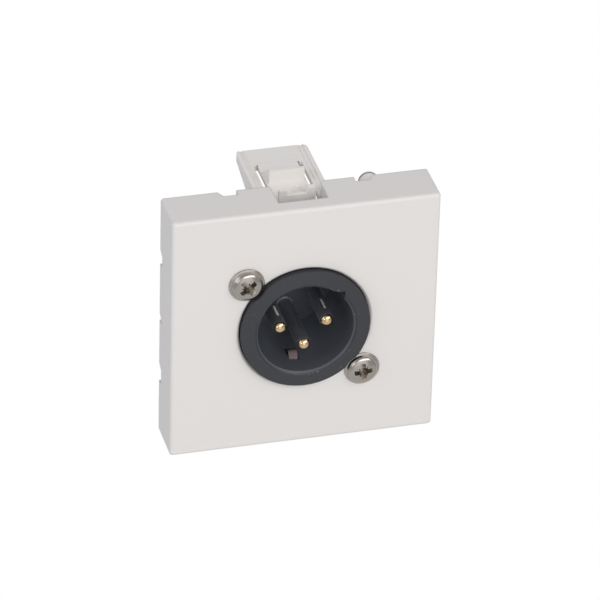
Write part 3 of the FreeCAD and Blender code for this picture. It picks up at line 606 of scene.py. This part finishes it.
def thread_group():
    """A ridge wound round the Y axis: a spiral with a four-sided section, filled at its ends."""
    group = bpy.data.node_groups.new("screw_thread", "GeometryNodeTree")
    group.interface.new_socket("Geometry", in_out="OUTPUT", socket_type="NodeSocketGeometry")
    for label in ("Radius", "Length", "Pitch", "Ridge"):
        group.interface.new_socket(label, in_out="INPUT", socket_type="NodeSocketFloat")
    group.interface.new_socket("Finish", in_out="INPUT", socket_type="NodeSocketMaterial")
    given = add(group, "NodeGroupInput")
    turns = add(
        group, "ShaderNodeMath", [(0, given, "Length"), (1, given, "Pitch")], operation="DIVIDE",
    )
    spiral = add(
        group, "GeometryNodeCurveSpiral",
        [("Rotations", turns, 0), ("Start Radius", given, "Radius"), ("End Radius", given, "Radius"),
         ("Height", given, "Length")],
        Resolution=40,
    )
    section = add(group, "GeometryNodeCurvePrimitiveCircle", [("Radius", given, "Ridge")], Resolution=4)
    ridge = add(group, "GeometryNodeCurveToMesh", [("Curve", spiral, 0), ("Profile Curve", section, 0)])
    ridge.inputs["Fill Caps"].default_value = True
    lay = add(group, "GeometryNodeTransform", [("Geometry", ridge, 0)])
    lay.inputs["Rotation"].default_value = (-math.pi / 2, 0, 0)
    real = add(group, "GeometryNodeRealizeInstances", [("Geometry", lay, 0)])
    dress = add(group, "GeometryNodeSetMaterial", [("Geometry", real, 0), ("Material", given, "Finish")])
    add(group, "NodeGroupOutput", [("Geometry", dress, 0)])
    return group


def grown(group, values):
    """The plain mesh that a Geometry Nodes group makes from these values of its inputs."""
    holder = bpy.data.objects.new("grown", bpy.data.meshes.new("grown"))
    bpy.context.scene.collection.objects.link(holder)
    modifier = holder.modifiers.new("grow", "NODES")
    modifier.node_group = group
    for item in group.interface.items_tree:
        if item.in_out == "INPUT":
            modifier[item.identifier] = values[item.name]
    mesh = bpy.data.meshes.new_from_object(holder.evaluated_get(bpy.context.evaluated_depsgraph_get()))
    bpy.data.objects.remove(holder)
    return mesh


def merged(name, *meshes):
    """One mesh of several."""
    mesh = bpy.data.meshes.new(name)
    shape = bmesh.new()
    for part in meshes:
        shape.from_mesh(part)
    for face in shape.faces:
        face.material_index = 0
    shape.to_mesh(mesh)
    shape.free()
    return mesh


def cross_outline(reach, half_width, turn):
    """The (x, z) corners of a cross, turned by degrees."""
    corners = []
    for quarter_turn in range(4):
        swing = math.radians(turn + 90 * quarter_turn)
        for out, aside in ((reach, -half_width), (reach, half_width), (half_width, half_width)):
            corners.append((
                out * math.cos(swing) - aside * math.sin(swing),
                out * math.sin(swing) + aside * math.cos(swing),
            ))
    return corners


def arc(middle, radius, start, stop, steps):
    """Points (y, radius) on an arc round a middle, by degrees from straight ahead."""
    swings = [math.radians(start + (stop - start) * index / steps) for index in range(steps + 1)]
    return [(middle[0] - radius * math.cos(a), middle[1] + radius * math.sin(a)) for a in swings]


def mark_recess(mesh, front):
    """Marks the faces that lie in a recess below the (y, radius) line of the front."""
    marks = mesh.attributes.new("recess", "FLOAT", "FACE")
    for polygon in mesh.polygons:
        x, y, z = polygon.center / MM
        reach = math.hypot(x, z)
        surface = [
            y0 + (y1 - y0) * (reach - r0) / (r1 - r0)
            for (y0, r0), (y1, r1) in zip(front, front[1:]) if r0 <= reach < r1
        ]
        marks.data[polygon.index].value = 1.0 if surface and surface[0] + 0.03 < y < -0.02 else 0.0
    return mesh


# The head's profile: a shallow dome, a tight shoulder tangent to it, and a flat band round the rim.
dome = arc((4.45, 0), 6.0, 0, 18.5, 8)[:-1]
shoulder = arc((-0.198, 1.551), 1.1, 18.5, 80, 12)
crown = dome + shoulder
rim = [(-0.36, 2.66), (-0.28, 2.93), (-0.2, HEAD_RADIUS), (-0.06, HEAD_RADIUS), (0, HEAD_RADIUS - 0.06)]
shank = [(0, SHANK_RADIUS), (SHANK_END - 0.2, SHANK_RADIUS), (SHANK_END, SHANK_RADIUS - 0.2), (SHANK_END, 0)]
thread = thread_group()
for node, turn in (("upper_flange_screw", 38.0), ("lower_flange_screw", 6.0)):
    mesh = turned(node, crown + rim + shank, SCREW_STEPS)
    cross = cross_outline(CROSS_REACH, CROSS_HALF_WIDTH, turn)
    mesh = carved(mesh, prism("cross", cross, -HEAD_HEIGHT - 0.1, 0.1, 1.0, 0.42))
    ticks = cross_outline(TICK_REACH, TICK_HALF_WIDTH, turn + 45)
    mesh = carved(mesh, prism("ticks", ticks, -HEAD_HEIGHT - 0.1, -0.6, 1.0, 0.6))
    ridge = grown(thread, {
        "Radius": (SHANK_RADIUS + 0.02) * MM, "Length": (SHANK_END - 1.0) * MM, "Pitch": THREAD_PITCH * MM,
        "Ridge": THREAD_RIDGE * MM, "Finish": nickel,
    })
    ridge.transform(Matrix.Translation(Vector((0, 0.5, 0)) * MM))
    mesh = mark_recess(merged(node, mesh, ridge), crown)
    mesh.transform(Matrix.Translation(middle_of(node)))
    screw = new_piece(f"{node}_cross_head", shaded(mesh, 30), nickel)
    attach(screw, "housing")
    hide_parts(node)


# Lock washers: split rings of nickel-plated spring steel, pressed flat between the shell's ears and
# the nuts.

paint(nickel, "upper_lock_washer", "lower_lock_washer")


# Flange nuts: hexagon nuts of nickel-plated steel, screwed onto the flange screws. Both faces are
# turned to a cone that takes the corners off.

for node in ("upper_flange_nut", "lower_flange_nut"):
    low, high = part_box(node)
    near, far = low[1] / MM, high[1] / MM
    reach = (high[0] - low[0]) / 2 / MM
    start, widest, run = reach * 0.8, reach * 1.1, reach * 0.17
    cone = turned("cone", [
        (near - run, 0), (near - run, start * 2 - widest), (near + run, widest),
        (far - run, widest), (far + run, start * 2 - widest), (far + run, 0),
    ], SCREW_STEPS)
    cone.transform(Matrix.Translation(middle_of(node)))
    mesh = carved(welded(nodes[node].data), cone, "INTERSECT")
    nut = new_piece(f"{node}_chamfered", shaded(mesh, 30), nickel)
    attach(nut, "housing")
    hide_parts(node)


# Frame screws: small self-tapping screws of nickel-plated steel, driven from behind through the
# frame's bosses into the cover's pillars.

HEAD_FACE = 12.4
TAPPING_HEAD_RADIUS = 1.7
TAPPING_SHANK_RADIUS = 0.85
TAPPING_POINT = 3.85
TAPPING_PITCH = 0.8
TAPPING_RIDGE = 0.13

round_head = [(HEAD_FACE - y, radius) for y, radius in arc((2.9, 0), 3.6, 0, 28, 12)]
round_head += [(HEAD_FACE, TAPPING_HEAD_RADIUS)]
tapping_shank = [
    (HEAD_FACE, TAPPING_SHANK_RADIUS), (TAPPING_POINT + 0.55, TAPPING_SHANK_RADIUS),
    (TAPPING_POINT, 0.25), (TAPPING_POINT, 0),
]
for node, turn in (("upper_frame_screw", 20.0), ("lower_frame_screw", 65.0)):
    mesh = turned(node, round_head + tapping_shank, SCREW_STEPS)
    mesh = carved(mesh, prism("cross", cross_outline(1.0, 0.27, turn), 13.3, 12.6, 1.0, 0.6))
    ridge = grown(thread, {
        "Radius": (TAPPING_SHANK_RADIUS + 0.01) * MM, "Length": 7.4 * MM, "Pitch": TAPPING_PITCH * MM,
        "Ridge": TAPPING_RIDGE * MM, "Finish": nickel,
    })
    ridge.transform(Matrix.Translation(Vector((0, TAPPING_POINT + 0.65, 0)) * MM))
    mesh = merged(node, mesh, ridge)
    mesh.transform(Matrix.Translation(middle_of(node)))
    screw = new_piece(f"{node}_cross_head", shaded(mesh, 30), nickel)
    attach(screw, "housing")
    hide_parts(node)


# Studio: a pale floor and surroundings that stay white behind the object, and soft lights. The
# large ones stand above and in front, and a cool one on the left lights the skirt.

SKY_STRENGTH = 0.46
FLOOR_COLOUR = "#E8E8E6"
FLOOR_LEVEL = -200
FLOOR_HALF_WIDTH = 1500

world = bpy.data.worlds.new("studio_world")
bpy.context.scene.world = world
world.use_nodes = True
sky = world.node_tree
ray = add(sky, "ShaderNodeLightPath")
soft = sky.nodes["Background"]
soft.inputs["Color"].default_value = (1.0, 1.0, 1.0, 1.0)
soft.inputs["Strength"].default_value = SKY_STRENGTH
plain = add(sky, "ShaderNodeBackground", Color=(1.0, 1.0, 1.0, 1.0), Strength=1.0)
choose = add(sky, "ShaderNodeMixShader")
sky.links.new(ray.outputs["Is Camera Ray"], choose.inputs[0])
sky.links.new(soft.outputs[0], choose.inputs[1])
sky.links.new(plain.outputs[0], choose.inputs[2])
sky.links.new(choose.outputs[0], sky.nodes["World Output"].inputs["Surface"])

# Matt studio paper: it takes soft shadows, and is plain white to the camera.
paper, tree, shader, place = new_material("matt_studio_paper", Base_Color=linear(FLOOR_COLOUR), Roughness=0.9)
ray = add(tree, "ShaderNodeLightPath")
glow = add(tree, "ShaderNodeEmission", Color=(1.0, 1.0, 1.0, 1.0), Strength=1.0)
choose = add(tree, "ShaderNodeMixShader")
tree.links.new(ray.outputs["Is Camera Ray"], choose.inputs[0])
tree.links.new(shader.outputs[0], choose.inputs[1])
tree.links.new(glow.outputs[0], choose.inputs[2])
tree.links.new(choose.outputs[0], tree.nodes["Material Output"].inputs["Surface"])
floor_mesh = slab(
    "studio_floor", (-FLOOR_HALF_WIDTH, -FLOOR_HALF_WIDTH, FLOOR_LEVEL - 2),
    (FLOOR_HALF_WIDTH, FLOOR_HALF_WIDTH, FLOOR_LEVEL), 1,
)
floor_mesh.materials.append(paper)
floor = bpy.data.objects.new("studio_floor", floor_mesh)
bpy.context.scene.collection.objects.link(floor)
floor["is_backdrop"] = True


def softbox(name, place_mm, width_mm, height_mm, watts, colour="#FFFFFF"):
    """A rectangular area light at a place, aimed at the object."""
    light = bpy.data.lights.new(name, "AREA")
    light.shape = "RECTANGLE"
    light.size = width_mm * MM
    light.size_y = height_mm * MM
    light.energy = watts
    light.color = linear(colour)[:3]
    lamp = bpy.data.objects.new(name, light)
    lamp.location = Vector(place_mm) * MM
    lamp.rotation_mode = "QUATERNION"
    lamp.rotation_quaternion = Vector(place_mm).to_track_quat("Z", "Y")
    bpy.context.scene.collection.objects.link(lamp)


softbox("key_softbox", (264, -560, 509), 960, 304, 2.5)
softbox("front_softbox", (40, -760, 160), 700, 700, 0.88)
softbox("fill_softbox", (-360, -350, 140), 80, 200, 0.15)
softbox("side_softbox", (-420, -40, 220), 300, 300, 0.45, "#E2ECFF")


# Camera: solved from the plate's edges in the photograph. The angles, and the camera's place in its
# own axes from the object's origin, are the solved ones.

CAMERA_ANGLES = (-15.44, 32.21, 1.60)
CAMERA_PLACE = (-0.7574, 4.352, 809.11)
FOCAL_LENGTH = 295.6

azimuth, elevation, roll = (math.radians(a) for a in CAMERA_ANGLES)
back = Vector((
    math.sin(azimuth) * math.cos(elevation), -math.cos(azimuth) * math.cos(elevation), math.sin(elevation),
))
sideways = Vector((math.cos(azimuth), math.sin(azimuth), 0))
upright = back.cross(sideways)
right = sideways * math.cos(roll) + upright * math.sin(roll)
up = upright * math.cos(roll) - sideways * math.sin(roll)
turn = Matrix((right, up, back)).transposed()
lens = bpy.data.cameras.new("camera")
lens.lens = FOCAL_LENGTH
lens.sensor_width = 36.0
lens.clip_start = 0.01
lens.clip_end = 10.0
camera = bpy.data.objects.new("camera", lens)
camera.matrix_world = Matrix.Translation(turn @ (Vector(CAMERA_PLACE) * MM)) @ turn.to_4x4()
bpy.context.scene.collection.objects.link(camera)
bpy.context.scene.camera = camera
bpy.context.scene.view_settings.view_transform = "Standard"

low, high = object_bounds()
